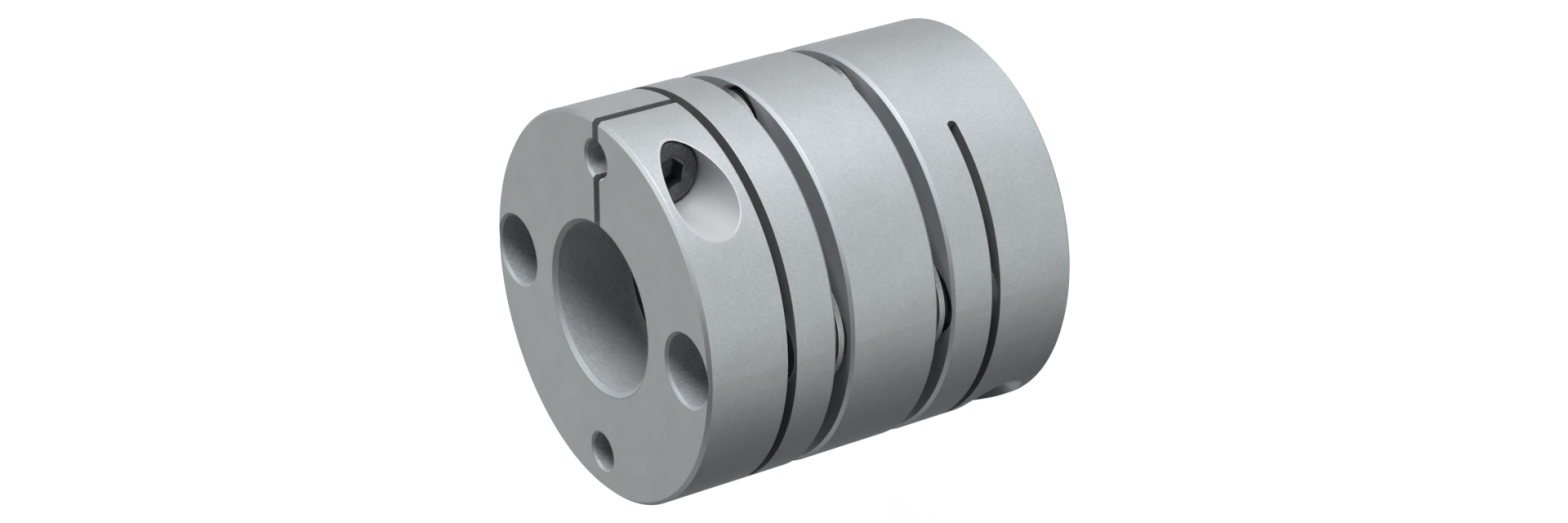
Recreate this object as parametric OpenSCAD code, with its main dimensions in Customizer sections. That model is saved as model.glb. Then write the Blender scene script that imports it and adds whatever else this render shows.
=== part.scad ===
// Double disc coupling: two clamping hubs joined through a spacer by two packs of thin steel leaves.
// The axis is Z. Hub B stands on its end face at Z = 0 and hub A is on top.
// Both hubs, their packs and their screws are the same pieces, turned half a turn about the X axis.

/* [Overall] */
// Outer diameter of the hubs and of the spacer
outer_d = 44; // [40:0.5:48]
// Length of each clamping hub
hub_length = 16; // [16:0.5:20]
// Length of the spacer between the two packs
spacer_length = 11.2; // [11:0.2:16]
// Chamfer on the outer edge of a hub's end face
end_chamfer = 0.4; // [0.2:0.05:0.5]
// Chamfer on the outer edges that face a pack
rim_chamfer = 0.35; // [0.2:0.05:0.5]

/* [Bores] */
// Shaft bore of each hub
bore_d = 19; // [14:0.5:20]
// Chamfer on the bore at a hub's end face
bore_chamfer = 0.45; // [0.2:0.05:0.6]
// Clearance bore through the spacer
spacer_bore_d = 20; // [18:0.5:22]
// Chamfer on the bores where they face a pack
inner_chamfer = 0.3; // [0.1:0.05:0.5]

/* [Clamp] */
// Width of the slit that lets a hub close on its shaft
slit_width = 1.15; // [0.8:0.05:1.6]
// Thickness of the clamp ring, from the end face to the cross slot
ring_thickness = 9.7; // [9.4:0.1:10.2]
// Width of the cross slot behind the clamp ring
slot_width = 1.15; // [0.8:0.05:1.3]
// How much the radius of the slot's round ends exceeds half its width
slot_end_ease = 0.03; // [0.02:0.01:0.1]
// Angle of the web left uncut opposite the slit, between the centres of the slot's round ends
web_angle = 75; // [50:5:90]
// Distance from the outside of a hub to the middle of its clamp screw
clamp_edge = 4.7; // [4.4:0.1:5]
// Distance from the slit's middle plane to the seat under the clamp screw's head
clamp_seat = 3.1; // [2.9:0.1:3.6]
// Length of the clamp screw under its head
clamp_screw_length = 12; // [9:0.5:14]

/* [Screws] */
// Thread diameter of every screw
screw_d = 4; // [3.6:0.1:4.2]
// Diameter of a screw's head
head_d = 7; // [6.6:0.1:7.2]
// Height of a screw's head
head_height = 4; // [3.4:0.1:4.2]
// Chamfer on the rim of a screw's head
head_chamfer = 0.35; // [0.2:0.05:0.5]
// Width across the flats of the hex socket
socket_width = 3; // [2.5:0.1:3.4]
// Depth of the hex socket
socket_depth = 2.2; // [1.6:0.1:2.6]
// Length of a pack screw under its head
pack_screw_length = 6; // [5:0.5:6.5]
// Chamfer on the tip of a screw
tip_chamfer = 0.5; // [0.2:0.05:0.6]

/* [Disc packs] */
// Thickness of one leaf
leaf_thickness = 0.14; // [0.1:0.01:0.16]
// Thickness of the washers between a pack and the piece it is screwed to
washer_thickness = 0.6; // [0.5:0.05:0.7]
// Thickness of the collars under the heads of the pack screws
collar_thickness = 1; // [0.8:0.1:1.2]
// Outer diameter of the washers and the collars
washer_d = 7; // [6.4:0.1:7.2]
// Distance from the outside of the coupling to the middle of each pack screw
bolt_edge = 4.5; // [4.5:0.1:4.8]
// Gap from the corners of a leaf to the outside of the coupling
leaf_setback = 0.7; // [0.5:0.1:1.2]
// Radius of a leaf's corners
leaf_corner_r = 6.6; // [6:0.2:8]
// Round opening in the middle of a leaf
leaf_bore_d = 24; // [22:0.5:26]

/* [Holes] */
// Chamfer on the mouths of the screw heads' holes
access_chamfer = 0.3; // [0.1:0.05:0.4]
// Chamfer on the mouths of the small holes
small_chamfer = 0.25; // [0.1:0.05:0.5]
// Radial clearance round a pack screw's head
head_clearance = 0.45; // [0.3:0.05:0.5]
// Radial clearance round a clamp screw's head
counterbore_clearance = 0.15; // [0.1:0.05:0.4]
// Radial clearance round a pack screw's shank
shank_clearance = 0.1; // [0.05:0.05:0.3]
// Radial clearance round a clamp screw's shank beside its head
clamp_clearance = 0.2; // [0.1:0.05:0.4]
// Radial clearance of a screw in its tapped hole
thread_clearance = 0.03; // [0.02:0.01:0.08]

/* [Hidden] */
$fn = 96;
// Leaves in each pack
leaf_count = 5;
// How far a cutting shape runs past the face that it cuts
cut = 0.5;

outer_r = outer_d / 2;
bolt_circle_r = outer_r - bolt_edge;
clamp_offset = outer_r - clamp_edge;
access_hole_d = head_d + 2 * head_clearance;
shank_hole_d = screw_d + 2 * shank_clearance;
tapped_hole_d = screw_d + 2 * thread_clearance;

pack_thickness = leaf_count * leaf_thickness;
pack_gap = pack_thickness + 2 * washer_thickness;
total_length = 2 * hub_length + 2 * pack_gap + spacer_length;
// Lowest face of pack B's leaves, and the height at which they end
leaves_start = hub_length + washer_thickness;
leaves_end = leaves_start + pack_thickness;
spacer_start = hub_length + pack_gap;
// Height of the clamp screw over a hub's end face, in the middle of the clamp ring
clamp_height = ring_thickness / 2;
slot_middle = ring_thickness + slot_width / 2;
leaf_corner_place = outer_r - leaf_setback - leaf_corner_r;

aluminium = [0.67, 0.69, 0.7];
leaf_steel = [0.78, 0.78, 0.77];
washer_steel = [0.62, 0.62, 0.61];
black_steel = [0.12, 0.12, 0.13];

// Places a piece of the B end at the A end
module at_end(side) {
    if (side == "a")
        translate([0, 0, total_length]) rotate([180, 0, 0]) children();
    else
        children();
}

// Pair of places on the bolt circle: a hub is screwed to its pack at +Y and -Y, the spacer at +X and -X
module bolt_places(mate) {
    first = mate == "hub" ? 90 : 0;
    for (angle = [first, first + 180])
        rotate([0, 0, angle]) translate([bolt_circle_r, 0, 0]) children();
}

// Chamfer cut at a hole's mouth, on a face at Z = 0 with the hole above it
module mouth(d, chamfer) {
    translate([0, 0, -cut]) cylinder(h = chamfer + cut, d1 = d + 2 * (chamfer + cut), d2 = d);
}

// Hole through a piece that stands from Z = 0, with a chamfer at both mouths
module through_hole(d, depth, chamfer) {
    translate([0, 0, -cut]) cylinder(h = depth + 2 * cut, d = d);
    mouth(d, chamfer);
    translate([0, 0, depth]) mirror([0, 0, 1]) mouth(d, chamfer);
}

// Turned ring with its own chamfer on each of its four edges
module turned_ring(d, bore, height, low_outer, high_outer, low_inner, high_inner) {
    rotate_extrude() polygon([
        [bore / 2 + low_inner, 0],
        [d / 2 - low_outer, 0],
        [d / 2, low_outer],
        [d / 2, height - high_outer],
        [d / 2 - high_outer, height],
        [bore / 2 + high_inner, height],
        [bore / 2, height - high_inner],
        [bore / 2, low_inner]
    ]);
}

// Slot across the hub behind the clamp ring, from the bore out, open at the slit and round at both ends
module cross_slot() {
    half_web = web_angle / 2;
    reach = (outer_r + 2 * cut) / cos(half_web);
    translate([0, 0, ring_thickness]) difference() {
        cylinder(h = slot_width, r = outer_r + cut);
        difference() {
            translate([0, 0, -cut]) linear_extrude(slot_width + 2 * cut) polygon([
                [0, 0],
                [reach * sin(half_web), reach * cos(half_web)],
                [-reach * sin(half_web), reach * cos(half_web)]
            ]);
            for (angle = [-half_web, half_web])
                rotate([0, 0, angle]) translate([0, 0, slot_width / 2]) rotate([-90, 0, 0])
                    cylinder(h = reach, r = slot_width / 2 + slot_end_ease);
        }
    }
}

// Slit from the bore to the outside, through the clamp ring and into the cross slot
module slit() {
    translate([-slit_width / 2, -outer_r - cut, -cut])
        cube([slit_width, outer_r + cut, slot_middle + cut]);
}

// Counterbore, clearance hole and tapped hole of the clamp screw, across the slit
module clamp_screw_holes() {
    translate([0, -clamp_offset, clamp_height]) rotate([0, 90, 0]) {
        translate([0, 0, clamp_seat]) cylinder(h = outer_r, d = head_d + 2 * counterbore_clearance);
        cylinder(h = clamp_seat + cut, d = screw_d + 2 * clamp_clearance);
        translate([0, 0, -outer_r]) cylinder(h = outer_r, d = tapped_hole_d);
    }
}

// Holes along the axis: access holes for the spacer's screws, and small holes that are tapped at the pack
module hub_axial_holes() {
    bolt_places("spacer") through_hole(access_hole_d, hub_length, access_chamfer);
    bolt_places("hub") {
        translate([0, 0, -cut]) cylinder(h = slot_middle + cut, d = shank_hole_d);
        mouth(shank_hole_d, small_chamfer);
        translate([0, 0, slot_middle]) cylinder(h = hub_length - slot_middle + cut, d = tapped_hole_d);
        translate([0, 0, hub_length]) mirror([0, 0, 1]) mouth(tapped_hole_d, small_chamfer);
    }
}

module hub(side) {
    color(aluminium) at_end(side) difference() {
        turned_ring(outer_d, bore_d, hub_length, end_chamfer, rim_chamfer, bore_chamfer, inner_chamfer);
        cross_slot();
        slit();
        hub_axial_holes();
        clamp_screw_holes();
    }
}

// Ring between the packs: tapped for its own screws, with clear holes for the heads of the hubs' screws
module spacer() {
    color(aluminium) translate([0, 0, spacer_start]) difference() {
        turned_ring(outer_d, spacer_bore_d, spacer_length,
            rim_chamfer, rim_chamfer, inner_chamfer, inner_chamfer);
        bolt_places("spacer") through_hole(tapped_hole_d, spacer_length, small_chamfer);
        bolt_places("hub") through_hole(access_hole_d, spacer_length, access_chamfer);
    }
}

// Socket head cap screw: its head stands up from Z = 0 and its shank hangs down
module cap_screw(length) {
    difference() {
        union() {
            cylinder(h = head_height - head_chamfer, d = head_d);
            translate([0, 0, head_height - head_chamfer])
                cylinder(h = head_chamfer, d1 = head_d, d2 = head_d - 2 * head_chamfer);
        }
        translate([0, 0, head_height - socket_depth])
            cylinder(h = socket_depth + cut, d = socket_width / cos(30), $fn = 6);
    }
    translate([0, 0, tip_chamfer - length]) cylinder(h = length - tip_chamfer, d = screw_d);
    translate([0, 0, -length]) cylinder(h = tip_chamfer, d1 = screw_d - 2 * tip_chamfer, d2 = screw_d);
}

module clamp_screw(side) {
    color(black_steel) at_end(side)
        translate([clamp_seat, -clamp_offset, clamp_height]) rotate([0, 90, 0])
            cap_screw(clamp_screw_length);
}

// One leaf: a square ring with round corners at the four screws and a round opening
module leaf_outline() {
    difference() {
        union() {
            for (angle = [45, 135]) rotate(angle)
                square([2 * leaf_corner_place * sin(45), 2 * (leaf_corner_place * sin(45) + leaf_corner_r)],
                    center = true);
            for (angle = [0:90:270]) rotate(angle)
                translate([leaf_corner_place, 0]) circle(r = leaf_corner_r);
        }
        circle(d = leaf_bore_d);
        for (angle = [0:90:270]) rotate(angle)
            translate([bolt_circle_r, 0]) circle(d = shank_hole_d);
    }
}

module leaf(side, i) {
    color(leaf_steel) at_end(side)
        translate([0, 0, leaves_start + (i - 1) * leaf_thickness]) linear_extrude(leaf_thickness)
            leaf_outline();
}

// Flat ring round a pack screw
module flat_ring(thickness) {
    difference() {
        cylinder(h = thickness, d = washer_d);
        translate([0, 0, -cut]) cylinder(h = thickness + 2 * cut, d = shank_hole_d);
    }
}

// Washers between the leaves and the piece that the pack is screwed to
module washers(side, mate) {
    color(washer_steel) at_end(side) bolt_places(mate)
        translate([0, 0, mate == "hub" ? hub_length : leaves_end]) flat_ring(washer_thickness);
}

// Collars between the leaves and the heads of the pack screws
module collars(side, mate) {
    color(washer_steel) at_end(side) bolt_places(mate)
        translate([0, 0, mate == "hub" ? leaves_end : leaves_start - collar_thickness])
            flat_ring(collar_thickness);
}

// Pack screws: those of a hub have their heads in the spacer, those of the spacer in the hub
module screws(side, mate) {
    color(black_steel) at_end(side) bolt_places(mate)
        if (mate == "hub")
            translate([0, 0, leaves_end + collar_thickness]) cap_screw(pack_screw_length);
        else
            translate([0, 0, leaves_start - collar_thickness]) rotate([180, 0, 0])
                cap_screw(pack_screw_length);
}

module hub_a() { hub("a"); }
module hub_b() { hub("b"); }
module clamp_screw_a() { clamp_screw("a"); }
module clamp_screw_b() { clamp_screw("b"); }

hub_a();
hub_b();
spacer();
clamp_screw_a();
clamp_screw_b();
for (side = ["a", "b"]) {
    for (i = [1:leaf_count])
        leaf(side, i);
    for (mate = ["hub", "spacer"]) {
        screws(side, mate);
        collars(side, mate);
        washers(side, mate);
    }
}
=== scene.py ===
"""Finishes a packed double disc coupling: turned aluminium, steel leaves, black screws and the studio.

The coupling stands on hub B's end face with its axis on Z. Sizes are in metres.
"""

import functools
import math
from itertools import product

import bmesh
import bpy
from bpy.props import FloatProperty, FloatVectorProperty, IntProperty, PointerProperty
from mathutils import Matrix, Vector


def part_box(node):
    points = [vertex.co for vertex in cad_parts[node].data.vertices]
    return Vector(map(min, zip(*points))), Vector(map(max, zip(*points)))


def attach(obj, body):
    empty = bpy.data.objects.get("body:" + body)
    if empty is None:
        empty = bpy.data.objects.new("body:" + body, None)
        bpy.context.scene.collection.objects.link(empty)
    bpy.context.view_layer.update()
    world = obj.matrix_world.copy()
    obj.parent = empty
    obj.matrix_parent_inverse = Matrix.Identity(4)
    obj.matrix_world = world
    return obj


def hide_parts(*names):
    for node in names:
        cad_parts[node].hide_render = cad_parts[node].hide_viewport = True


bl_info = {
    "name": "Disc Coupling Finisher",
    "version": (1, 0, 0),
    "blender": (4, 5, 0),
    "location": "3D View > Sidebar > Coupling",
    "description": "Gives a disc coupling its metals, screws, leaves, threads and studio",
    "category": "Object",
}

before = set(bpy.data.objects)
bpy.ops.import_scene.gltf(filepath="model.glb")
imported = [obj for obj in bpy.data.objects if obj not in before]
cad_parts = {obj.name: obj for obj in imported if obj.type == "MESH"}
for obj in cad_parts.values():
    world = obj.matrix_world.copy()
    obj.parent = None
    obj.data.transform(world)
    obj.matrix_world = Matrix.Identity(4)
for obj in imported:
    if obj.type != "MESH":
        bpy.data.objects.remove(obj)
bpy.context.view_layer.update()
BODY = "root"
MM = 0.001

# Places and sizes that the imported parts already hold
CLAMP_LOW, CLAMP_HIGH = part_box("clamp_screw_a")
CLAMP_Y = (CLAMP_LOW.y + CLAMP_HIGH.y) / 2
CLAMP_Z = (CLAMP_LOW.z + CLAMP_HIGH.z) / 2
HUB_LOW, HUB_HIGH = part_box("hub_a")
HUB_LENGTH = HUB_HIGH.z - HUB_LOW.z
PACK_SCREWS_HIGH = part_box("pack_a_hub_screws")[1]
HEAD_D = CLAMP_HIGH.y - CLAMP_LOW.y
BOLT_R = PACK_SCREWS_HIGH.y - HEAD_D / 2
OUTER_R = HUB_HIGH.x
LENGTH = HUB_HIGH.z
MIDDLE = Vector((0, 0, LENGTH / 2))
HALF_TURN = Matrix.Translation(MIDDLE) @ Matrix.Rotation(math.pi, 4, "X") @ Matrix.Translation(-MIDDLE)

# Shift and turn that bring a pattern to hub B and the spacer, and to hub A
UPRIGHT = ((0, 0, 0), (0, 0, 0))
TURNED_OVER = ((0, 0, LENGTH), (math.pi, 0, 0))

# Angle of the first of two screws that go into a hub, and into the spacer
FIRST_SCREW = {"hub": math.pi / 2, "spacer": 0.0}

# Half a slit's width, how far it runs in from the hub's end face, and what its finish takes in beside it
SLIT_HALF, SLIT_DEPTH, SLIT_MARGIN = 0.575 * MM, 10.2 * MM, 0.04 * MM

# What a hole's finish takes in round the head or thread in it: the hole's wall and chamfer
ACCESS_MARGIN, TAPPED_MARGIN, SEAT_MARGIN = 0.8 * MM, 0.45 * MM, 0.3 * MM

# Up or down part of the normal, above which a face is level, and above which one that isn't is a chamfer
LEVEL, LEANING = 0.85, 0.5

# Shares of a hub's length, from its end face, between which the level faces are those of its cross slot
SLOT_FROM, SLOT_TO = 0.3, 0.7

# Shade of a slit's walls, as a share of that of the faces in the gaps
SLIT_SHADE = 1.1

# How much of their own tint the tool lines take, and how much the clamp screw's seat takes of the painted
# light, the broken edges of the painted highlight and the grooves between leaves of the painted shade
LINE_TINT, SEAT_LIGHT, EDGE_HIGHLIGHT, GROOVE_SHADE = 0.35, 0.5, 0.8, 0.75

# Depth of the tool lines and of the grain, what the roughness varies by, and what drilling takes off it
LINE_RELIEF, GRAIN_RELIEF, UNEVEN, DRILLED_SMOOTHER = 0.45, 0.8, 0.03, 0.08

# Range that holds most of what a noise gives
NOISE_LOW, NOISE_HIGH = 0.3, 0.7

# A thread's depth in pitches, rings in each turn, slope and root of its teeth, and gap to the head
THREAD_DEPTH, THREAD_ROWS, TOOTH_SLOPE, TOOTH_ROOT, THREAD_GAP = 0.61, 7, 1.6, 0.3, 0.3 * MM

# Points round a head for each of its knurls, and round a collar or washer
POINTS_PER_KNURL, RING_POINTS = 4, 96

# Turn of the clamp screws' sockets, and the room that a collar or washer leaves round its screw
SOCKET_TURN, RING_PLAY = math.radians(20), 0.1 * MM

# Distance within which a leaf's points are one, and angles of one flat face and of an outline
WELD, FLAT, OUTLINE = 0.0001 * MM, math.radians(0.5), math.radians(60)

# Thread ridges: size in pitches, turns for a clamp screw and for a leaf screw, room round the thread and at
# the hub's side, and height over the leaf screw's tip
RIDGE_SIZE, CLAMP_TURNS, PACK_TURNS, RIDGE_ROOM, OVER_TIP = 0.46, 10.0, 1.5, 0.03 * MM, 0.05 * MM

# Light of the tent's wall every 30 degrees from -X, by way of -Y, +X and +Y, of its poles, and of its back
TENT_TONES = (0.24, 0.78, 0.16, 0.085, 0.22, 0.61, 0.92, 0.60, 0.69, 0.78, 0.43, 0.0)
TENT_POLES, TENT_BACK = (0.30,) * 3, (0.55,) * 3

# Faces round the tent, and from pole to pole
TENT_ROUND, TENT_RISE = 48, 24

# Each lamp's name, azimuth and height in degrees, width, and the setting of its power
LAMPS = (("main_lamp", 87, 11, 0.4, "key_power"), ("fill_lamp", -40, 20, 0.5, "fill_power"))
LAMPS_AWAY = 0.6

# How far below the coupling the floor lies
FLOOR_GAP = 0.02 * MM


def length(name, description, default, low=0.0, high=1.0):
    """A size in metres that shows in the panel."""
    return FloatProperty(name=name, description=description, default=default, min=low, max=high,
                         precision=5, subtype="DISTANCE", unit="LENGTH")


def share(name, description, default, low=0.0, high=1.0):
    """A plain number that shows in the panel."""
    return FloatProperty(name=name, description=description, default=default, min=low, max=high)


def degrees(name, description, default):
    """An angle that shows in the panel, given in degrees."""
    return FloatProperty(name=name, description=description, default=math.radians(default), subtype="ANGLE")


def position(name, description, default):
    """A place that shows in the panel."""
    return FloatVectorProperty(name=name, description=description, default=default, size=3,
                               subtype="XYZ", unit="LENGTH")


def colour(name, description, default):
    """A colour that shows in the panel."""
    return FloatVectorProperty(name=name, description=description, default=default, size=3,
                               min=0.0, max=1.0, subtype="COLOR")


# Settings

class StudioSettings(bpy.types.PropertyGroup):
    """Camera, floor and lamps."""
    eye: position("Eye", "Where the camera stands", (0.30572552, 0.17593203, 0.22664268))
    aim: position("Aim", "Point in the middle of the picture", (0.00036394, -0.00051489, 0.02340019))
    roll: degrees("Roll", "Turn of the camera about its view line", -106.08112)
    lens: FloatProperty(name="Lens", description="Focal length on a 36 mm sensor", default=84.46554,
                        min=10, max=300, subtype="DISTANCE_CAMERA", unit="CAMERA")
    floor_size: length("Floor", "Side of the square floor", 6.0, 1.0, 20.0)
    floor_colour: colour("Floor colour", "Plain pale floor", (0.70, 0.70, 0.70))
    floor_glow: share("Floor glow", "How white the floor looks to the camera", 0.97, 0.0, 2.0)
    tent_radius: length("Tent", "Radius of the tent that the metal mirrors", 0.45, 0.2, 2.0)
    tent_light: colour("Tent, light side", "Tint of the tent on the side of the main lamp", (0.98, 0.99, 1.0))
    tent_dark: colour("Tent, dark side", "Tint of the tent away from the main lamp", (0.98, 1.0, 0.98))
    key_power: share("Main lamp", "Power of the main lamp in watts", 3.15, 0.0, 100.0)
    fill_power: share("Fill lamp", "Power of the fill lamp in watts", 0.04, 0.0, 100.0)
    world_light: share("Room light", "Strength of the room's even light", 0.02, 0.0, 2.0)


class AluminiumSettings(bpy.types.PropertyGroup):
    """Finish of the hubs and the spacer."""
    metal: colour("Metal", "Colour of the clear satin finish", (0.725, 0.765, 0.79))
    # Painted highlight: lightens the chamfers of the bore, the holes and the rims
    chamfer_highlight: colour("Chamfer highlight", "Colour of the fresh cut chamfers", (0.86, 0.93, 0.97))
    # Painted light: lightens the wall of the counterbore and the seat of the clamp screw
    seat_light_metal: colour("Seat light metal", "Colour of the milled seat of the clamp screw", (0.95, 0.96, 0.97))
    # Painted highlight: lightens the broken edges
    edge_highlight_metal: colour("Edge highlight metal", "Colour of the rubbed edges", (0.92, 0.94, 0.96))
    shade: colour("Shade", "Colour to which the faces in the gaps and slots darken", (0.02, 0.022, 0.022))
    metallic: share("Metallic", "How much of the finish is bare metal under its clear layer", 0.5)
    bore_dulling: share("Bore dulling", "How much of that metal the bore and holes lack", 0.66)
    roughness: share("Roughness", "Roughness of the satin finish", 0.42)
    line_pitch: length("Line pitch", "Distance between the turning lines", 0.12 * MM, 0.01 * MM, 2 * MM)
    drill_pitch: length("Drill pitch", "Distance between lines in the holes", 0.16 * MM, 0.01 * MM, 2 * MM)
    grain: share("Grain", "How strongly the fine grain shows on the outside", 0.08)
    grain_stretch: share("Grain stretch", "How much longer than wide the grain is", 4.5, 1.0, 20.0)
    bore_grain: share("Bore grain", "How much more of it shows in the bore and holes", 0.13)
    bore_reach: length("Bore reach", "Radius inside which the finish is that of the bore", 10.05 * MM)
    bore_twist: share("Bore twist", "Turn of the bore's grain, in radians in each metre", 160.0, 0.0, 1000.0)
    inner_shade: share("Inner faces", "How much darker the faces in the gaps and slots are left", 0.24)
    # Shares of the painted highlight on the chamfers of the bore and holes, and on those of the rims beside
    # the leaves
    chamfer_light: share("Chamfers", "How much of the cut metal the chamfers of bore and holes show", 0.8)
    rim_light: share("Rims", "How much of it the chamfers of the rims beside the leaves show", 0.35)
    edge_radius: length("Edge radius", "Radius that deburring leaves on sharp edges", 0.07 * MM, 0.0, 1 * MM)


class SteelSettings(bpy.types.PropertyGroup):
    """Finish of the leaves, collars and washers."""
    leaf_metal: colour("Leaf metal", "Colour of the stainless leaves", (0.80, 0.81, 0.82))
    # Painted shade: darkens the rounded edges where two leaves meet
    groove_shade: colour("Groove shade", "Colour deep between two leaves", (0.05, 0.05, 0.05))
    leaf_roughness: share("Leaf roughness", "Roughness of the rolled leaves", 0.28)
    leaf_edge: length("Leaf edge", "Radius of a leaf's blanked edge", 0.05 * MM, 0.0, 0.1 * MM)
    # Painted shade: the collars and washers are made nearly black so that they darken beside the leaves
    ring_shade_metal: colour("Ring shade metal", "Colour of the blackened collars and washers", (0.10, 0.102, 0.106))
    ring_edge: length("Ring edge", "Radius on the edges of the collars and washers", 0.12 * MM, 0.0, 0.3 * MM)


class ScrewSettings(bpy.types.PropertyGroup):
    """Shape and finish of the socket head screws."""
    head_height: length("Head height", "Height of the head", 4 * MM, 1 * MM, 10 * MM)
    shank_d: length("Thread diameter", "Outer diameter of the thread", 4 * MM, 1 * MM, 10 * MM)
    pitch: length("Thread pitch", "Distance between two turns of the thread", 0.7 * MM, 0.2 * MM, 2 * MM)
    socket_width: length("Socket", "Width across the flats of the socket", 3.1 * MM, 1 * MM, 8 * MM)
    socket_depth: length("Socket depth", "Depth of the socket's walls", 2.0 * MM, 0.5 * MM, 6 * MM)
    rim_radius: length("Rim radius", "Rounding of the head's rim", 0.5 * MM, 0.05 * MM, 1 * MM)
    teeth: IntProperty(name="Knurls", description="Knurls round the head", default=42, min=12, max=80)
    knurl_depth: length("Knurl depth", "Depth of the knurls", 0.1 * MM, 0.0, 0.4 * MM)
    oxide: colour("Oxide", "Colour of the black oxide", (0.066, 0.069, 0.072))
    rubbed: colour("Rubbed", "Colour of the steel where the oxide is rubbed off", (0.34, 0.35, 0.37))


def screw_settings(context):
    """The screws' settings, which the holes, rings and threads also read."""
    return context.scene.coupling_screws


# Shader and geometry tree helpers

def fill(tree, node, inputs):
    """Links each input to the socket that is given for it, or sets it to the value."""
    for key, value in inputs.items():
        socket = node.inputs[key]
        if isinstance(value, bpy.types.NodeSocket):
            tree.links.new(value, socket)
        elif socket.type == "RGBA":
            socket.default_value = (*value, 1)
        else:
            socket.default_value = value


def put(tree, kind, inputs=None, **values):
    """Adds a node, sets its values, and fills its inputs. Returns its outputs."""
    node = tree.nodes.new(kind)
    for name, value in values.items():
        setattr(node, name, value)
    fill(tree, node, inputs or {})
    return node.outputs


def calc(tree, operation, *terms, clamp=False):
    """The outcome of one step of arithmetic."""
    return put(tree, "ShaderNodeMath", dict(enumerate(terms)), operation=operation, use_clamp=clamp)[0]


def times(tree, first, *others):
    """The product of two or more values."""
    for other in others:
        first = calc(tree, "MULTIPLY", first, other)
    return first


def vector(tree, operation, *terms):
    """One step of vector arithmetic. Returns its outputs."""
    return put(tree, "ShaderNodeVectorMath", dict(enumerate(terms)), operation=operation)


def split(tree, place):
    """The X, Y and Z of a vector."""
    return put(tree, "ShaderNodeSeparateXYZ", {0: place})


def join(tree, *parts):
    """A vector of up to three parts."""
    return put(tree, "ShaderNodeCombineXYZ", dict(enumerate(parts)))[0]


def between(tree, value, low, high, start=0.0, end=1.0):
    """A value mapped from one range to another, held at the ends."""
    return put(tree, "ShaderNodeMapRange", {"Value": value, "From Min": low, "From Max": high,
                                            "To Min": start, "To Max": end}, clamp=True)["Result"]


def spread(tree, noise, start=0.0, end=1.0):
    """Most of what a noise gives, mapped to a range."""
    return between(tree, noise, NOISE_LOW, NOISE_HIGH, start, end)


def ramp(tree, value, tones):
    """A ramp through greys at even steps. Returns its colour."""
    node = tree.nodes.new("ShaderNodeValToRGB")
    fill(tree, node, {"Fac": value})
    node.color_ramp.interpolation = "LINEAR"
    stops = node.color_ramp.elements
    while len(stops) < len(tones):
        stops.new(0.5)
    for i, (stop, tone) in enumerate(zip(stops, tones)):
        stop.position = i / (len(tones) - 1)
        stop.color = (tone, tone, tone, 1)
    return node.outputs["Color"]


def blend(tree, factor, first, second):
    """The mix of two numbers."""
    return put(tree, "ShaderNodeMix", {0: factor, 2: first, 3: second}, data_type="FLOAT")[0]


def mix(tree, factor, first, second, how="MIX"):
    """The mix of two colours."""
    return put(tree, "ShaderNodeMix", {0: factor, 6: first, 7: second}, data_type="RGBA",
               blend_type=how)[2]


def tints(tree, factor, metal, first, second):
    """The mix of two tints of a metal, given as shares of its colour."""
    return mix(tree, factor, *(tuple(part * by for part in metal) for by in (first, second)))


def group(name, inputs, outputs, kind="ShaderNodeTree"):
    """An empty node group. Returns its tree, what comes into it, and its end node.

    Each input has the kind of its socket, or a number that it starts from. Each output has its kind.
    """
    tree = bpy.data.node_groups.new(name, kind)
    for label, given in inputs.items():
        plain = {int: "Int", float: "Float"}.get(type(given), given)
        socket = tree.interface.new_socket(label, in_out="INPUT", socket_type="NodeSocket" + plain)
        if plain != given:
            socket.default_value = given
    for label, plain in outputs.items():
        tree.interface.new_socket(label, in_out="OUTPUT", socket_type="NodeSocket" + plain)
    return tree, tree.nodes.new("NodeGroupInput").outputs, tree.nodes.new("NodeGroupOutput")


def once(build):
    """Makes a function build its tree only the first time. The tree is named after the function."""
    name = build.__name__.replace("_", " ").capitalize()

    @functools.wraps(build)
    def find():
        if name not in bpy.data.node_groups:
            build(name)
        return bpy.data.node_groups[name]
    return find


def use(tree, shared, inputs):
    """Places a shared node group in a material. Returns its outputs."""
    return put(tree, "ShaderNodeGroup", inputs, node_tree=shared)


def mottled(tree, place, cloud, speck):
    """Soft mottle at a place. Returns its clouds and specks."""
    return use(tree, soft_mottle(), {"Vector": place, "Cloud size": cloud, "Speck size": speck})


def empty_material(name):
    """A new material without nodes. Returns it and its tree."""
    made = bpy.data.materials.new(name)
    made.use_nodes = True
    made.node_tree.nodes.clear()
    return made, made.node_tree


def material(name):
    """A new material with a plain Principled shader. Returns it, its tree, the shader and the place in it."""
    made, tree = empty_material(name)
    shader = tree.nodes.new("ShaderNodeBsdfPrincipled")
    put(tree, "ShaderNodeOutputMaterial", {"Surface": shader.outputs["BSDF"]})
    return made, tree, shader, put(tree, "ShaderNodeTexCoord")["Object"]


def levelness(tree):
    """The up or down part of a face's normal: 1 on a level face, 0 on an upright one."""
    return calc(tree, "ABSOLUTE", split(tree, put(tree, "ShaderNodeNewGeometry")["Normal"])[2])


def bump(tree, height, strength, distance, **normal):
    """The normal that a height gives, on the plain normal or on one that is given."""
    return put(tree, "ShaderNodeBump", {
        "Strength": strength, "Distance": distance, "Height": height, **normal})[0]


def seen(tree):
    """1 for rays of the camera, of a mirror and of glass, 0 for those that only light the object."""
    paths = put(tree, "ShaderNodeLightPath")
    return calc(tree, "MAXIMUM", paths["Is Camera Ray"],
                calc(tree, "MAXIMUM", paths["Is Glossy Ray"], paths["Is Transmission Ray"]))


# Shared effects

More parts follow.
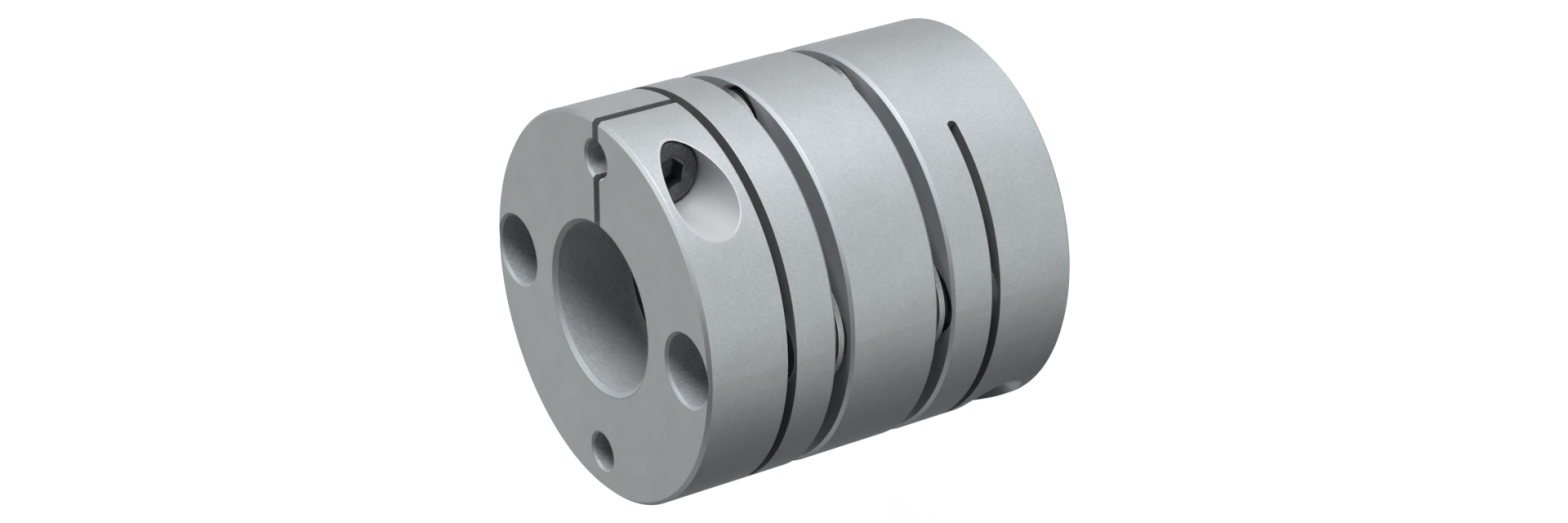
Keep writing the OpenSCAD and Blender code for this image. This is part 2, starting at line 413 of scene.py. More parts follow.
@once
def machined_lines(name):
    """Tool lines that run round an axis parallel to Z through the origin of the vector that comes in."""
    tree, given, end = group(name, {"Vector": "Vector", "Pitch": 0.12 * MM, "Runs": 3.0}, {"Lines": "Float"})
    x, y, z = split(tree, given["Vector"])
    pitch = given["Pitch"]
    radius = calc(tree, "SQRT", calc(tree, "ADD", times(tree, x, x), times(tree, y, y)))
    reach = calc(tree, "DIVIDE", given["Runs"], calc(tree, "MAXIMUM", radius, 0.01 * MM))
    place = join(tree, times(tree, x, reach), times(tree, y, reach), calc(tree, "DIVIDE", radius, pitch))
    noise = put(tree, "ShaderNodeTexNoise", {
        "Vector": place, "W": calc(tree, "DIVIDE", z, pitch),
        "Scale": 1.0, "Detail": 2.0, "Roughness": 0.6}, noise_dimensions="4D")
    fill(tree, end, {"Lines": noise["Fac"]})


@once
def near_axis(name):
    """1 inside a hole whose axis is parallel to Z at the origin of the vector, 0 outside it."""
    tree, given, end = group(name, {"Vector": "Vector", "Radius": 4 * MM}, {"Inside": "Float"})
    flat = vector(tree, "MULTIPLY", given["Vector"], (1, 1, 0))[0]
    away = vector(tree, "LENGTH", flat)["Value"]
    fill(tree, end, {"Inside": calc(tree, "LESS_THAN", away, given["Radius"])})


@once
def long_grain(name):
    """Fine grain drawn out along Z, or along a helix round Z where there is a twist."""
    tree, given, end = group(name, {"Vector": "Vector", "Size": 0.1 * MM, "Stretch": 4.0, "Twist": 0.0},
                             {"Grain": "Float"})
    whole = given["Vector"]
    wound = put(tree, "ShaderNodeVectorRotate", {
        "Vector": whole, "Angle": times(tree, split(tree, whole)[2], given["Twist"])},
        rotation_type="Z_AXIS")[0]
    flat = join(tree, 1.0, 1.0, calc(tree, "DIVIDE", 1.0, given["Stretch"]))
    noise = put(tree, "ShaderNodeTexNoise", {
        "Vector": vector(tree, "MULTIPLY", wound, flat)[0], "Detail": 1.0, "Roughness": 0.5,
        "Scale": calc(tree, "DIVIDE", 1.0, given["Size"])})
    fill(tree, end, {"Grain": noise["Fac"]})


@once
def soft_mottle(name):
    """Cloudy unevenness and fine specks of a blasted or oxidised skin."""
    tree, given, end = group(name, {"Vector": "Vector", "Cloud size": 4 * MM, "Speck size": 0.15 * MM},
                             {"Clouds": "Float", "Specks": "Float"})
    for size, detail, out in (("Cloud size", 3.0, "Clouds"), ("Speck size", 1.5, "Specks")):
        noise = put(tree, "ShaderNodeTexNoise", {
            "Vector": given["Vector"], "Scale": calc(tree, "DIVIDE", 1.0, given[size]),
            "Detail": detail, "Roughness": 0.55})
        fill(tree, end, {out: noise["Fac"]})


@once
def broken_edge(name):
    """Rounded normal of an edge, and 1 where the edge has been broken."""
    tree, given, end = group(name, {"Radius": 0.07 * MM}, {"Normal": "Vector", "Edge": "Float"})
    rounded = put(tree, "ShaderNodeBevel", {"Radius": given["Radius"]}, samples=6)[0]
    flat = put(tree, "ShaderNodeNewGeometry")["Normal"]
    along = vector(tree, "DOT_PRODUCT", rounded, flat)["Value"]
    fill(tree, end, {"Normal": rounded, "Edge": between(tree, along, 0.995, 0.86)})


# Materials

def tool_lines(tree, settings, own, holes):
    """Lines round the axis, and round each hole's own axis in it. Returns them, and 1 inside the holes."""
    lines = use(tree, machined_lines(), {"Vector": own, "Pitch": settings.line_pitch, "Runs": 3.0})[0]
    folded = vector(tree, "ABSOLUTE", own)[0]
    bored = 0.0
    for x, y, radius in holes:
        centred = vector(tree, "SUBTRACT", folded, (x, y, 0))[0]
        inside = use(tree, near_axis(), {"Vector": centred, "Radius": radius})[0]
        drilled = use(tree, machined_lines(), {
            "Vector": centred, "Pitch": settings.drill_pitch, "Runs": 1.6})[0]
        lines = blend(tree, inside, lines, drilled)
        bored = calc(tree, "ADD", bored, inside)
    return lines, bored


def satin_skin(tree, settings, lines, clouds, grain, rougher):
    """Colour of the satin finish: cloudy, with darker tool lines, and grainier in the bore and holes."""
    toned = tints(tree, between(tree, clouds, 0.35, 0.65), settings.metal, 0.965, 1.03)
    dark = tuple(part * 0.9 for part in settings.metal)
    lined = mix(tree, spread(tree, lines, 0.0, LINE_TINT), toned, dark)
    depth = calc(tree, "MULTIPLY_ADD", rougher, settings.bore_grain, settings.grain)
    tone = calc(tree, "MULTIPLY_ADD", spread(tree, grain, -1.0, 1.0), depth, 1.0)
    return put(tree, "ShaderNodeVectorMath", {0: lined, "Scale": tone}, operation="SCALE")[0]


def in_clamp_seat(tree, x, y, z):
    """1 on the seat and in the counterbore of the clamp screw."""
    across = join(tree, calc(tree, "ADD", y, CLAMP_Y), calc(tree, "SUBTRACT", z, LENGTH - CLAMP_Z))
    near = use(tree, near_axis(), {"Vector": across, "Radius": HEAD_D / 2 + SEAT_MARGIN})[0]
    return times(tree, near, calc(tree, "GREATER_THAN", x, 0.0))


def in_slit(tree, settings, x, y, z):
    """1 on the walls of the slit, from the bore out."""
    outside = calc(tree, "LESS_THAN", y, -settings.bore_reach)
    beside = calc(tree, "LESS_THAN", calc(tree, "ABSOLUTE", x), SLIT_HALF + SLIT_MARGIN)
    return times(tree, outside, beside, calc(tree, "LESS_THAN", z, SLIT_DEPTH))


def cut_faces(tree, settings, own, rougher, skin):
    """Darkens the skin with painted shade in the gaps, slots and slit, lightens it with a painted highlight
    on the chamfers, and with painted light on the screw's seat.
    """
    x, y, z = split(tree, own)
    up = levelness(tree)
    level = calc(tree, "GREATER_THAN", up, LEVEL)
    leaning = times(tree, calc(tree, "GREATER_THAN", up, LEANING), calc(tree, "SUBTRACT", 1.0, level))
    inner = times(tree, level, calc(tree, "GREATER_THAN", z, SLOT_FROM * HUB_LENGTH))
    in_slot = calc(tree, "LESS_THAN", z, SLOT_TO * HUB_LENGTH)
    seat = in_clamp_seat(tree, x, y, z)
    gap_shade = times(tree, inner, calc(tree, "SUBTRACT", 1.0, seat),
                      calc(tree, "MULTIPLY_ADD", in_slot, settings.inner_shade, settings.inner_shade))
    slit_shade = times(tree, in_slit(tree, settings, x, y, z), SLIT_SHADE * settings.inner_shade)
    # Painted highlight on the chamfers: more on those of the bore and holes, less on the rims beside the
    # leaves
    cut = calc(tree, "MAXIMUM", times(tree, rougher, settings.chamfer_light),
               calc(tree, "MULTIPLY_ADD", in_slot, -settings.rim_light, settings.rim_light))
    # Painted light on the counterbore and seat of the clamp screw
    seat_lit = mix(tree, times(tree, seat, SEAT_LIGHT), skin, settings.seat_light_metal)
    with_chamfer_highlight = mix(tree, calc(tree, "MULTIPLY", leaning, cut, clamp=True), seat_lit, settings.chamfer_highlight)
    return mix(tree, calc(tree, "MAXIMUM", gap_shade, slit_shade), with_chamfer_highlight, settings.shade)


def turned_aluminium(name, settings, placing, holes):
    """Satin aluminium with tool lines round the axis, and round each hole's own axis inside the holes.

    placing is the shift and turn of the pattern, and holes are (x, y, radius) of one hole of each
    symmetrical pair.
    """
    made, tree, shader, place = material(name)
    own = put(tree, "ShaderNodeMapping", {
        "Vector": place, "Location": placing[0], "Rotation": placing[1]})[0]
    lines, bored = tool_lines(tree, settings, own, holes)
    in_bore = use(tree, near_axis(), {"Vector": own, "Radius": settings.bore_reach})[0]
    rougher = calc(tree, "ADD", in_bore, bored)
    straight, wound = (
        use(tree, long_grain(), {"Vector": own, "Stretch": settings.grain_stretch, "Twist": twist})[0]
        for twist in (0.0, settings.bore_twist))
    grain = blend(tree, in_bore, straight, wound)
    clouds, specks = mottled(tree, own, 5 * MM, 0.12 * MM)
    edge = use(tree, broken_edge(), {"Radius": settings.edge_radius})
    skin = satin_skin(tree, settings, lines, clouds, grain, rougher)
    faces = cut_faces(tree, settings, own, rougher, skin)
    rough = calc(tree, "ADD", spread(tree, lines, -UNEVEN, UNEVEN),
                 spread(tree, specks, settings.roughness - UNEVEN, settings.roughness + UNEVEN))
    height = calc(tree, "ADD", times(tree, lines, calc(tree, "ADD", LINE_RELIEF, bored)),
                  times(tree, grain, calc(tree, "MULTIPLY_ADD", rougher, GRAIN_RELIEF, GRAIN_RELIEF)))
    fill(tree, shader, {
        # Painted highlight along the broken edges
        "Base Color": mix(tree, times(tree, edge["Edge"], EDGE_HIGHLIGHT), faces, settings.edge_highlight_metal),
        "Metallic": calc(tree, "MULTIPLY_ADD", rougher, -settings.bore_dulling * settings.metallic,
                         settings.metallic),
        "Roughness": calc(tree, "SUBTRACT", rough, times(tree, bored, DRILLED_SMOOTHER)),
        "Normal": bump(tree, height, strength=0.35, distance=0.02 * MM, Normal=edge["Normal"])})
    return made


def leaf_steel(settings):
    """Bright rolled stainless strip: lines along X on the faces, cross striations on the blanked edges."""
    made, tree, shader, place = material("leaf_steel_rolled")
    drawn, upright = (put(tree, "ShaderNodeMapping", {"Vector": place, "Scale": scale})[0]
                      for scale in ((0.12, 4.0, 1.0), (1.0, 1.0, 0.05)))
    rolled = mottled(tree, drawn, 1.2 * MM, 0.25 * MM)["Specks"]
    blanked = mottled(tree, upright, 0.9 * MM, 0.09 * MM)["Specks"]
    up = levelness(tree)
    # Painted shade in the grooves between the leaves, on their rounded edges
    groove = times(tree, between(tree, up, 0.25, 0.6), between(tree, up, 0.98, 0.9))
    grain = blend(tree, between(tree, up, 0.9, 0.5), rolled, blanked)
    base = tints(tree, between(tree, grain, 0.32, 0.68), settings.leaf_metal, 0.95, 1.04)
    rough = settings.leaf_roughness
    fill(tree, shader, {
        "Base Color": mix(tree, times(tree, groove, GROOVE_SHADE), base, settings.groove_shade),
        "Metallic": 1.0,
        "Roughness": spread(tree, grain, rough - 0.06, rough + 0.08),
        "Normal": bump(tree, grain, strength=0.06, distance=0.01 * MM)})
    return made


def ring_steel(settings):
    """Turned steel of the collars and washers, coloured nearly black as painted shade beside the leaves."""
    made, tree, shader, place = material("ring_steel_turned")
    clouds, specks = mottled(tree, place, 1.5 * MM, 0.1 * MM)
    fill(tree, shader, {
        "Base Color": tints(tree, spread(tree, clouds), settings.ring_shade_metal, 0.85, 1.0),
        "Metallic": 1.0,
        "Roughness": spread(tree, specks, 0.3, 0.45),
        "Normal": bump(tree, specks, strength=0.2, distance=0.01 * MM)})
    return made


def black_oxide(settings):
    """Oiled black oxide on forged steel, rubbed to metal in small specks."""
    made, tree, shader, place = material("black_oxide")
    clouds, specks = mottled(tree, place, 1.1 * MM, 0.22 * MM)
    rubbed = times(tree, between(tree, specks, 0.62, 0.70), between(tree, clouds, 0.45, 0.6))
    skin = tints(tree, spread(tree, clouds), settings.oxide, 1.0, 1.9)
    fill(tree, shader, {
        "Base Color": mix(tree, rubbed, skin, settings.rubbed),
        "Metallic": 0.6,
        "Roughness": spread(tree, specks, 0.30, 0.46),
        "Normal": bump(tree, specks, strength=0.35, distance=0.02 * MM)})
    return made


# Meshes

def add(name, data):
    """A new object in the scene, of a mesh, a lamp or a camera."""
    piece = bpy.data.objects.new(name, data)
    bpy.context.scene.collection.objects.link(piece)
    return piece


def show(mesh, finish, slot, *nodes):
    """Puts a finished mesh in the scene in place of its CAD nodes."""
    piece = add(mesh.name, mesh)
    if not mesh.materials:
        mesh.materials.append(finish)
    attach(piece, BODY)
    if nodes:
        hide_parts(*nodes)


def smooth(mesh, limit):
    """Shades a mesh smooth, except where its faces meet at more than the limit in degrees."""
    mesh.shade_smooth()
    mesh.set_sharp_from_angle(angle=math.radians(limit))


def new_piece(name, rings, caps=(), limit=35):
    """A piece from rings of equally many points, closed by a cap point at each end, or end to end."""
    count = len(rings[0])
    points = [point for ring in rings for point in ring]
    top = len(points) - count
    sides = [(i, (i + 1) % count) for i in range(count)]
    faces = [(low + i, low + j, low + count + j, low + count + i)
             for low in range(0, top, count) for i, j in sides]
    if caps:
        first, last = len(points), len(points) + 1
        points += caps
        faces += [(first, j, i) for i, j in sides]
        faces += [(last, top + i, top + j) for i, j in sides]
    else:
        faces += [(top + i, top + j, j, i) for i, j in sides]
    mesh = bpy.data.meshes.new(name)
    mesh.from_pydata(points, [], faces)
    mesh.validate()
    smooth(mesh, limit)
    return mesh


def at(value, angle):
    """A number as it is, or what a rule gives for an angle."""
    return value(angle) if callable(value) else value


def ring_at(radius, height, count):
    """A ring of points round Z. radius and height are numbers, or rules that give them for an angle."""
    angles = [2 * math.pi * i / count for i in range(count)]
    return [(at(radius, a) * math.cos(a), at(radius, a) * math.sin(a), at(height, a)) for a in angles]


def shank_profile(under_head, settings):
    """Radius and height of each ring of a threaded shank, from its tip up to the head."""
    outer, depth = settings.shank_d / 2, THREAD_DEPTH * settings.pitch
    root = outer - depth

    def thread(height):
        """The rule for the thread's radius at a height, within the bevel of the tip."""
        def reach(angle):
            wound = (height / settings.pitch - angle / (2 * math.pi)) % 1.0
            tooth = min(1.0, max(0.0, TOOTH_SLOPE * abs(2 * wound - 1) - TOOTH_ROOT))
            return min(outer - depth * (1 - tooth), root + (height + under_head))
        return reach

    steps = max(8, round(under_head / settings.pitch * THREAD_ROWS))
    heights = [-under_head + (under_head - THREAD_GAP) * i / steps for i in range(steps + 1)]
    tip, neck, under = (0.8 * root, -under_head), (0.97 * outer, -0.12 * MM), (outer + 0.15 * MM, 0.0)
    return [tip, *((thread(height), height) for height in heights), neck, under]


def head_profile(outer, settings):
    """Radius and height of each ring of a knurled head, from below it to the floor of its socket."""
    top, rim, width = settings.head_height, settings.rim_radius, settings.socket_width
    edge, side = 0.12 * MM, outer - 0.02 * MM
    knurl_from, knurl_to = 0.25 * MM, top - rim - 0.25 * MM
    full_from, full_to = 0.4 * MM, 0.95 * knurl_to
    mouth, lip = width / 2 / math.cos(math.pi / 6) + 0.08 * MM, 0.3 * MM
    floor = top - settings.socket_depth

    def knurl(angle):
        return outer - settings.knurl_depth * (0.5 - 0.5 * math.cos(settings.teeth * angle))

    def hexagon(angle):
        return width / 2 / math.cos((angle % (math.pi / 3)) - math.pi / 6)

    def countersink(angle):
        return top - 0.6 * (mouth - hexagon(angle))

    quarter = [math.pi / 2 * i / 6 for i in range(7)]
    return [(outer - edge, 0.0), (side, edge),
            (outer, knurl_from), (knurl, full_from), (knurl, full_to), (outer, knurl_to),
            *((side - rim * (1 - math.cos(a)), top - rim * (1 - math.sin(a))) for a in quarter),
            (mouth + lip, top), (mouth, top), (hexagon, countersink), (hexagon, floor), (width * 0.42, floor)]


def cap_screw(name, under_head, head_d, settings):
    """A socket head screw: the head stands up from Z = 0, the threaded shank hangs down."""
    profile = shank_profile(under_head, settings) + head_profile(head_d / 2, settings)
    rings = [ring_at(radius, height, settings.teeth * POINTS_PER_KNURL) for radius, height in profile]
    drill_point = settings.head_height - settings.socket_depth - 0.22 * settings.socket_width
    return new_piece(name, rings, [(0, 0, -under_head), (0, 0, drill_point)], limit=28)


def flat_ring(name, bore_r, outer_r, thickness, edge):
    """A turned ring with rounded edges, standing from Z = 0."""
    profile = []
    for x, z, start in ((outer_r - edge, edge, -90), (outer_r - edge, thickness - edge, 0),
                        (bore_r + edge, thickness - edge, 90), (bore_r + edge, edge, 180)):
        for angle in [math.radians(start + 30 * step) for step in range(4)]:
            profile.append((x + edge * math.cos(angle), z + edge * math.sin(angle)))
    return new_piece(name, [ring_at(radius, height, RING_POINTS) for radius, height in profile])


def rounded_copy(name, source, radius):
    """A merged copy of a flat CAD solid with all its outlines rounded."""
    work = bmesh.new()
    work.from_mesh(source)
    bmesh.ops.remove_doubles(work, verts=work.verts, dist=WELD)
    bmesh.ops.dissolve_limit(work, angle_limit=FLAT, verts=work.verts, edges=work.edges)
    outlines = [edge for edge in work.edges if edge.calc_face_angle(0) > OUTLINE]
    bmesh.ops.bevel(work, geom=outlines, offset=radius, segments=2, profile=0.5, affect="EDGES",
                    clamp_overlap=True)
    bmesh.ops.triangulate(work, faces=[face for face in work.faces if len(face.verts) > 4])
    mesh = bpy.data.meshes.new(name)
    work.to_mesh(mesh)
    work.free()
    smooth(mesh, 50)
    return mesh


# Geometry trees

def finish_tree(tree, given, end, geometry):
    """Ends a geometry tree: makes its copies real and gives them their finish."""
    real = put(tree, "GeometryNodeRealizeInstances", {"Geometry": geometry})[0]
    finished = put(tree, "GeometryNodeSetMaterial", {"Geometry": real, "Material": given["Finish"]})
    fill(tree, end, {"Geometry": finished[0]})


@once
def round_pattern(name):
    """Copies what comes in round the Z axis, turned over if asked, and gives it its finish."""
    tree, given, end = group(name, {
        "Piece": "Geometry", "Count": 2, "Circle radius": BOLT_R, "Start angle": 0.0, "Height": 0.0,
        "Turn over": 0.0, "Seed": 4, "Loose turn": 0.0, "Finish": "Material"},
        {"Geometry": "Geometry"}, "GeometryNodeTree")
    index = put(tree, "GeometryNodeInputIndex")[0]
    part = calc(tree, "DIVIDE", times(tree, index, 2 * math.pi), given["Count"])
    angle = calc(tree, "ADD", part, given["Start angle"])
    x, y = (times(tree, calc(tree, way, angle), given["Circle radius"]) for way in ("COSINE", "SINE"))
    points = put(tree, "GeometryNodePoints", {
        "Count": given["Count"], "Position": join(tree, x, y, given["Height"])})[0]
    loose = put(tree, "FunctionNodeRandomValue", {"Seed": given["Seed"]}, data_type="FLOAT")[1]
    spin = times(tree, loose, given["Loose turn"])
    copies = put(tree, "GeometryNodeInstanceOnPoints", {
        "Points": points, "Instance": given["Piece"],
        "Rotation": join(tree, times(tree, given["Turn over"], math.pi), 0.0, spin)})[0]
    finish_tree(tree, given, end, copies)


@once
def thread_ridge(name):
    """A ridge that winds up the wall of a tapped hole, cut off where it would leave the hub's side."""
    tree, given, end = group(name, {
        "Piece": "Geometry", "Wall radius": 2.0 * MM, "Pitch": 0.7 * MM, "Turns": 4.0, "Turn": "Vector",
        "Shift": "Vector", "Side radius": OUTER_R, "Finish": "Material"},
        {"Geometry": "Geometry"}, "GeometryNodeTree")
    spiral = put(tree, "GeometryNodeCurveSpiral", {
        "Resolution": 36, "Rotations": given["Turns"], "Start Radius": given["Wall radius"],
        "End Radius": given["Wall radius"], "Height": times(tree, given["Turns"], given["Pitch"]),
        "Reverse": True})[0]
    level = put(tree, "GeometryNodeSetCurveNormal", {"Curve": spiral}, mode="Z_UP")[0]
    profile = put(tree, "GeometryNodeCurvePrimitiveCircle", {
        "Resolution": 4, "Radius": times(tree, given["Pitch"], RIDGE_SIZE)}, mode="RADIUS")[0]
    swept = put(tree, "GeometryNodeCurveToMesh", {
        "Curve": level, "Profile Curve": profile, "Fill Caps": True})[0]
    placed = put(tree, "GeometryNodeTransform", {
        "Geometry": swept, "Translation": given["Shift"], "Rotation": given["Turn"]})[0]
    side = put(tree, "GeometryNodeMeshCylinder", {
        "Vertices": 256, "Radius": given["Side radius"], "Depth": 3 * LENGTH})[0]
    cut = tree.nodes.new("GeometryNodeMeshBoolean")
    cut.operation, cut.solver = "INTERSECT", "EXACT"
    for mesh in (placed, side):
        fill(tree, cut, {"Mesh 2": mesh})
    finish_tree(tree, given, end, cut.outputs[0])


def grown(name, base, shared, values):
    """Runs a geometry tree on a mesh and returns the plain mesh that comes out."""
    carrier = add(name + "_carrier", base)
    modifier = carrier.modifiers.new("Grow", "NODES")
    modifier.node_group = shared
    for item in shared.interface.items_tree:
        if item.in_out == "INPUT" and item.name in values:
            modifier[item.identifier] = values[item.name]
    depsgraph = bpy.context.evaluated_depsgraph_get()
    mesh = bpy.data.meshes.new_from_object(carrier.evaluated_get(depsgraph))
    mesh.name = name
    carrier.modifiers.remove(modifier)
    bpy.data.objects.remove(carrier)
    return mesh


# Studio

def stage_piece(mesh, finish):
    """A piece of the studio, which isn't part of the coupling."""
    mesh.materials.append(finish)
    piece = add(mesh.name, mesh)
    return piece


def make_camera(settings):
    """The camera at the photograph's viewing angle."""
    camera = bpy.data.cameras.new("photo_camera")
    camera.lens, camera.sensor_width, camera.sensor_fit = settings.lens, 36, "HORIZONTAL"
    camera.clip_start, camera.clip_end = 0.01, 20
    holder = add("photo_camera", camera)
    line = (Vector(settings.aim) - Vector(settings.eye)).normalized()
    level = line.to_track_quat("-Z", "Y").to_matrix().to_4x4()
    holder.matrix_world = Matrix.Translation(settings.eye) @ level @ Matrix.Rotation(settings.roll, 4, "Z")
    return holder


def make_floor(settings):
    """A pale floor that looks white and keeps the shadow. The metal mirrors the tent and not the floor."""
    made, tree = empty_material("pale_floor")
    matt = put(tree, "ShaderNodeBsdfDiffuse", {"Color": settings.floor_colour})[0]
    glow = put(tree, "ShaderNodeEmission", {
        "Color": (1, 1, 1), "Strength": times(tree, seen(tree), settings.floor_glow)})[0]
    both = put(tree, "ShaderNodeAddShader", {0: matt, 1: glow})[0]
    put(tree, "ShaderNodeOutputMaterial", {"Surface": both})
    half = settings.floor_size / 2
    corners = [(x * half, y * half, -FLOOR_GAP) for x, y in ((-1, -1), (1, -1), (1, 1), (-1, 1))]
    mesh = bpy.data.meshes.new("floor")
    mesh.from_pydata(corners, [], [(0, 1, 2, 3)])
    stage_piece(mesh, made).visible_glossy = False


def tent_finish(settings):
    """Light graded by direction: a wall of tones, grey poles, an even back, and a roof lighter towards +Y."""
    made, tree = empty_material("graded_tent")
    place = put(tree, "ShaderNodeTexCoord")["Object"]
    x, y, z = split(tree, vector(tree, "NORMALIZE", vector(tree, "SUBTRACT", place, MIDDLE)[0])[0])
    around = calc(tree, "MULTIPLY_ADD", calc(tree, "ARCTAN2", y, x), 0.5 / math.pi, 0.5)
    wall = ramp(tree, around, (*TENT_TONES, TENT_TONES[0]))
    poles = between(tree, calc(tree, "ABSOLUTE", z), 0.75, 0.98)
    tone = mix(tree, poles, wall, TENT_POLES)
    roof = times(tree, between(tree, z, 0.35, 0.6), between(tree, calc(tree, "ADD", x, y), -0.6, -0.1))
    tone = mix(tree, roof, tone, between(tree, y, 0.0, 0.5))
    back = times(tree, between(tree, z, 0.05, 0.3), between(tree, y, -0.6, -0.85))
    tone = mix(tree, back, tone, TENT_BACK)
    across = calc(tree, "MULTIPLY_ADD", y, 0.5, 0.5)
    tint = mix(tree, across, settings.tent_dark, settings.tent_light)
    light = mix(tree, 1.0, tone, tint, how="MULTIPLY")
    glow = put(tree, "ShaderNodeEmission", {"Color": light, "Strength": 1.0})[0]
    put(tree, "ShaderNodeOutputMaterial", {"Surface": glow})
    return made


def make_tent(settings):
    """A ball round everything, which only mirrored light meets."""
    radius = settings.tent_radius
    slopes = [math.pi * row / TENT_RISE - math.pi / 2 for row in range(1, TENT_RISE)]
    rings = [ring_at(radius * math.cos(up), MIDDLE.z + radius * math.sin(up), TENT_ROUND) for up in slopes]
    ball = new_piece("graded_tent", rings, [(0, 0, MIDDLE.z - radius), (0, 0, MIDDLE.z + radius)])
    piece = stage_piece(ball, tent_finish(settings))
    piece.visible_camera = piece.visible_diffuse = piece.visible_shadow = False
    piece.visible_transmission = piece.visible_volume_scatter = False


def make_lamps(settings):
    """The round lamps, which look at the middle of the coupling."""
    for name, azimuth, height, size, power in LAMPS:
        lamp = bpy.data.lights.new(name, "AREA")
        lamp.shape, lamp.size, lamp.energy = "DISK", size, getattr(settings, power)
        holder = add(name, lamp)
        around, up = math.radians(azimuth), math.radians(height)
        towards = Vector((math.cos(up) * math.cos(around), math.cos(up) * math.sin(around), math.sin(up)))
        holder.location = MIDDLE + towards * LAMPS_AWAY
        holder.rotation_euler = towards.to_track_quat("Z", "Y").to_euler()
        holder.visible_camera = False


def make_room(settings):
    """An even room that looks white and lights the coupling only a little."""
    world = bpy.data.worlds.new("white_room")
    world.use_nodes = True
    tree = world.node_tree
    tree.nodes.clear()
    strength = between(tree, seen(tree), 0.0, 1.0, settings.world_light, 1.0)
    back = put(tree, "ShaderNodeBackground", {"Color": (1, 1, 1), "Strength": strength})[0]
    put(tree, "ShaderNodeOutputWorld", {"Surface": back})
    return world


# Operators

class COUPLING_OT_aluminium(bpy.types.Operator):
    """Gives the two hubs and the spacer their turned and satin finished aluminium"""
    bl_idname = "coupling.aluminium"
    bl_label = "Finish hubs and spacer"

    def execute(self, context):
        settings = context.scene.coupling_aluminium
        access = HEAD_D / 2 + ACCESS_MARGIN
        tapped = screw_settings(context).shank_d / 2 + TAPPED_MARGIN
        hub_holes = ((BOLT_R, 0, access), (0, BOLT_R, tapped))
        spacer_holes = ((BOLT_R, 0, tapped), (0, BOLT_R, access))
        for node, placing, holes in (("hub_a", TURNED_OVER, hub_holes), ("hub_b", UPRIGHT, hub_holes),
                                     ("spacer", UPRIGHT, spacer_holes)):
            finish = turned_aluminium(node + "_aluminium", settings, placing, holes)
            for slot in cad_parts[node].material_slots:
                slot.material = finish
        return {"FINISHED"}


class COUPLING_OT_leaves(bpy.types.Operator):
    """Makes the thin leaves with rounded edges, so that each one shows in its pack"""
    bl_idname = "coupling.leaves"
    bl_label = "Make leaves"

    def execute(self, context):
        settings = context.scene.coupling_steel
        finish = leaf_steel(settings)
        for side, number in product("ab", range(1, 6)):
            node = f"pack_{side}_leaf_{number}"
            mesh = rounded_copy(node + "_blanked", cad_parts[node].data, settings.leaf_edge)
            show(mesh, finish, "leaf_steel", node)
        return {"FINISHED"}


class COUPLING_OT_screws(bpy.types.Operator):
    """Makes the knurled socket head screws in place of the plain ones"""
    bl_idname = "coupling.screws"
    bl_label = "Make screws"

    def execute(self, context):
        settings = screw_settings(context)
        finish = black_oxide(settings)
        head = settings.head_height
        for side in "ab":
            node = "clamp_screw_" + side
            low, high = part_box(node)
            mesh = cap_screw(node + "_knurled", high.x - low.x - head, high.y - low.y, settings)
            centre = (low + high) / 2
            seat = Matrix.Translation((high.x - head, centre.y, centre.z))
            lean = Matrix.Rotation(math.pi / 2, 4, "Y") @ Matrix.Rotation(SOCKET_TURN, 4, "Z")
            mesh.transform(seat @ lean)
            show(mesh, finish, "black_screws", node)
        for side, mate in product("ab", ("hub", "spacer")):
            node = f"pack_{side}_{mate}_screws"
            low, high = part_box(node)
            single = cap_screw(node + "_one", high.z - low.z - head, HEAD_D, settings)
            heads_down = (side == "a") == (mate == "hub")
            mesh = grown(node + "_knurled", single, round_pattern(), {
                "Circle radius": BOLT_R, "Start angle": FIRST_SCREW[mate],
                "Height": low.z + head if heads_down else high.z - head,
                "Turn over": 1.0 if heads_down else 0.0,
                "Seed": ord(side), "Loose turn": 2 * math.pi, "Finish": finish})
            show(mesh, finish, "black_screws", node)
        return {"FINISHED"}


class COUPLING_OT_rings(bpy.types.Operator):
    """Makes the collars and washers with rounded edges"""
    bl_idname = "coupling.rings"
    bl_label = "Make collars and washers"

    def execute(self, context):
        settings = context.scene.coupling_steel
        finish = ring_steel(settings)
        bore_r = screw_settings(context).shank_d / 2 + RING_PLAY
        for side, mate, kind in product("ab", ("hub", "spacer"), ("collars", "washers")):
            node = f"pack_{side}_{mate}_{kind}"
            low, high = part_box(node)
            single = flat_ring(node + "_one", bore_r, max(high.x, high.y) - BOLT_R, high.z - low.z,
                               settings.ring_edge)
            mesh = grown(node + "_turned", single, round_pattern(), {
                "Circle radius": BOLT_R, "Start angle": FIRST_SCREW[mate], "Height": low.z,
                "Finish": finish})
            show(mesh, finish, "ring_steel", node)
        return {"FINISHED"}


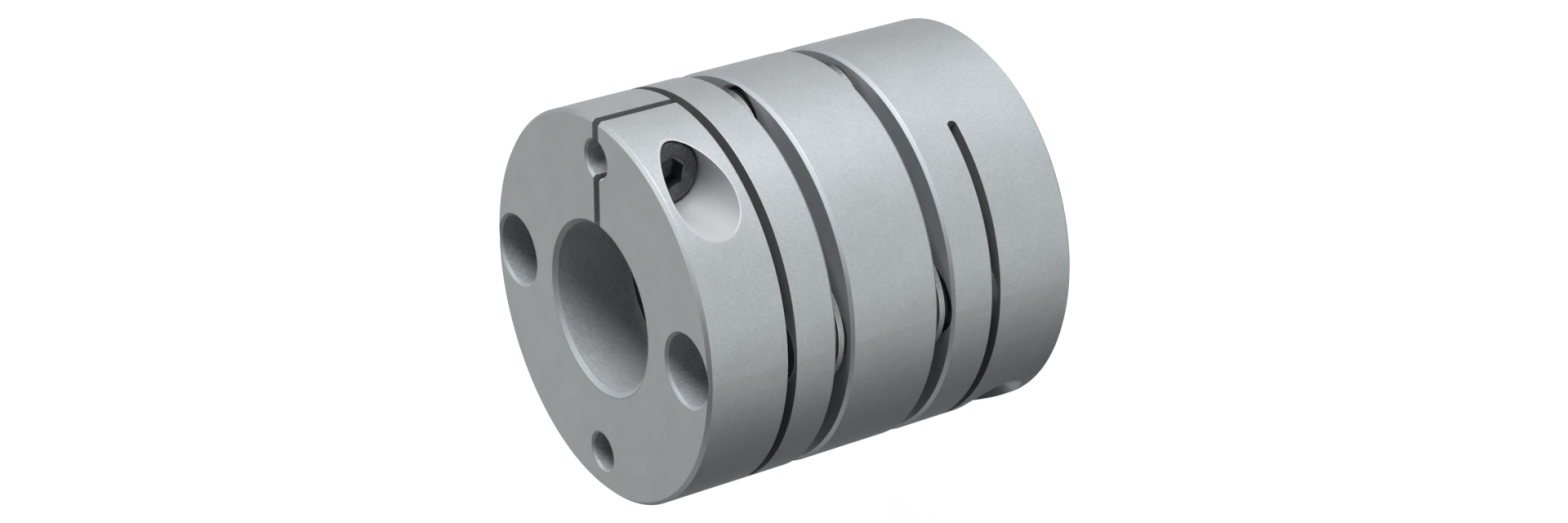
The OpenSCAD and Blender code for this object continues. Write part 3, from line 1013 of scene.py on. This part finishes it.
class COUPLING_OT_threads(bpy.types.Operator):
    """Cuts the threads that show in the ends of the tapped holes"""
    bl_idname = "coupling.threads"
    bl_label = "Cut threads"

    def execute(self, context):
        settings = screw_settings(context)
        finish = turned_aluminium("thread_aluminium", context.scene.coupling_aluminium, UPRIGHT, ())
        seed = bpy.data.meshes.new("thread_seed")
        values = {"Wall radius": settings.shank_d / 2 + RIDGE_ROOM, "Pitch": settings.pitch, "Finish": finish}
        axis = (CLAMP_LOW + CLAMP_HIGH) / 2
        run_out = grown("clamp_thread_a", seed, thread_ridge(), {
            **values, "Turns": CLAMP_TURNS, "Turn": (0, -math.pi / 2, 0),
            "Shift": (CLAMP_LOW.x, axis.y, axis.z), "Side radius": OUTER_R - RIDGE_ROOM})
        single = grown("pack_thread_one", seed, thread_ridge(), {**values, "Turns": PACK_TURNS})
        pair = grown("pack_thread_a", single, round_pattern(), {
            "Circle radius": BOLT_R, "Start angle": FIRST_SCREW["hub"],
            "Height": PACK_SCREWS_HIGH.z + OVER_TIP, "Finish": finish})
        for mesh in (run_out, pair):
            turned = mesh.copy()
            turned.name = mesh.name.replace("_a", "_b")
            turned.transform(HALF_TURN)
            show(mesh, finish, "hub_aluminium")
            show(turned, finish, "hub_aluminium")
        return {"FINISHED"}


class COUPLING_OT_studio(bpy.types.Operator):
    """Sets up the camera, the floor, the lamps and what the metal mirrors"""
    bl_idname = "coupling.studio"
    bl_label = "Set up studio"

    def execute(self, context):
        settings, scene = context.scene.coupling_studio, context.scene
        scene.view_settings.view_transform = "Standard"
        scene.camera = make_camera(settings)
        make_floor(settings)
        make_tent(settings)
        make_lamps(settings)
        scene.world = make_room(settings)
        return {"FINISHED"}


class COUPLING_PT_panel(bpy.types.Panel):
    """Lists the steps that finish the coupling"""
    bl_label = "Disc coupling"
    bl_idname = "COUPLING_PT_panel"
    bl_space_type = "VIEW_3D"
    bl_region_type = "UI"
    bl_category = "Coupling"

    def draw(self, context):
        for step in STEPS:
            self.layout.operator(step.bl_idname)
        for name in SETTINGS:
            box = self.layout.box()
            settings = getattr(context.scene, name)
            for field in settings.bl_rna.properties:
                if field.identifier not in ("rna_type", "name"):
                    box.prop(settings, field.identifier)


STEPS = (COUPLING_OT_aluminium, COUPLING_OT_leaves, COUPLING_OT_screws, COUPLING_OT_rings,
         COUPLING_OT_threads, COUPLING_OT_studio)
SETTINGS = {"coupling_studio": StudioSettings, "coupling_aluminium": AluminiumSettings,
            "coupling_steel": SteelSettings, "coupling_screws": ScrewSettings}


def register():
    for made in (*SETTINGS.values(), *STEPS, COUPLING_PT_panel):
        bpy.utils.register_class(made)
    for name, made in SETTINGS.items():
        setattr(bpy.types.Scene, name, PointerProperty(type=made))


def unregister():
    for name in SETTINGS:
        delattr(bpy.types.Scene, name)
    for made in (COUPLING_PT_panel, *reversed(STEPS), *reversed(SETTINGS.values())):
        bpy.utils.unregister_class(made)


def main():
    """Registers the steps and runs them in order."""
    register()
    bpy.ops.coupling.aluminium()
    bpy.ops.coupling.leaves()
    bpy.ops.coupling.screws()
    bpy.ops.coupling.rings()
    bpy.ops.coupling.threads()
    bpy.ops.coupling.studio()


if __name__ == "__main__":
    main()
